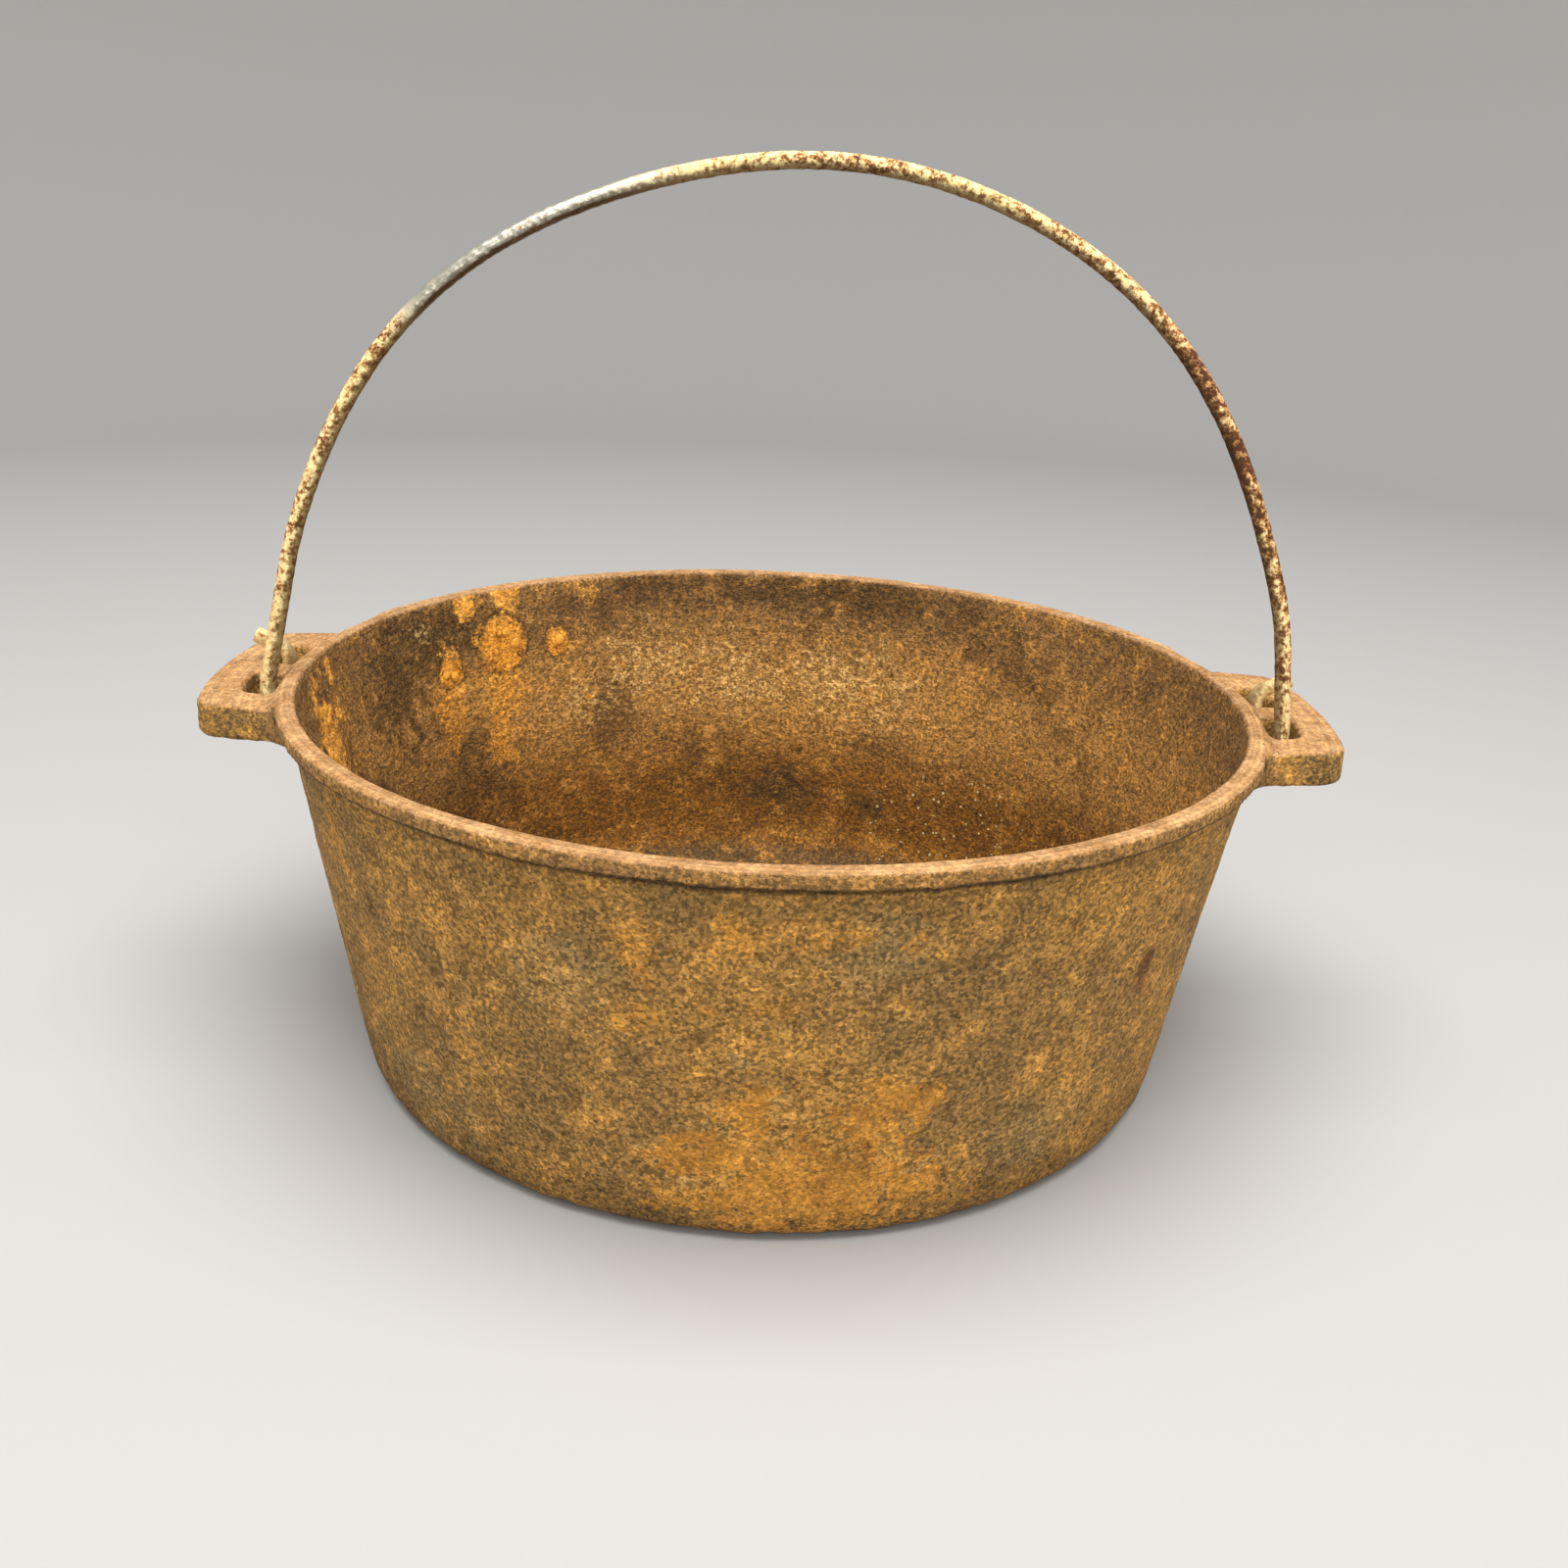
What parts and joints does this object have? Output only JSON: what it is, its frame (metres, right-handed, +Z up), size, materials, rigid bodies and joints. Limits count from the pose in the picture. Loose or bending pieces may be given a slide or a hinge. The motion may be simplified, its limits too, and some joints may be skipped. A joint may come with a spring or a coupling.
{
  "type": "dutch oven",
  "caption": "Round open cast iron pot with a banded rim, tapered wall, flat base and slotted side ears carrying a swinging round-wire bail.",
  "frame": {"origin": "centre of the flat base, on the surface the pot stands on", "axes": "+Z up through the bowl's open mouth, +X and -X out through the two ears, -Y the side towards which the bail swings down"},
  "size_m": [0.299, 0.26, 0.2342],
  "materials": {
    "rusted_cast_iron": "rusted, sandy cast texture",
    "rusted_steel_wire": "dull drawn wire with rust scale"
  },
  "bodies": {
    "pot": {"pot_casting": "rusted_cast_iron"},
    "bail": {"bail_wire": "rusted_steel_wire"}
  },
  "joints": [
    {"name": "bail_swing", "type": "hinge", "parent": "pot", "child": "bail", "pos_m": [0, -0.006, 0.0967], "axis": [1, 0, 0], "range_deg": [0, 47]}
  ]
}
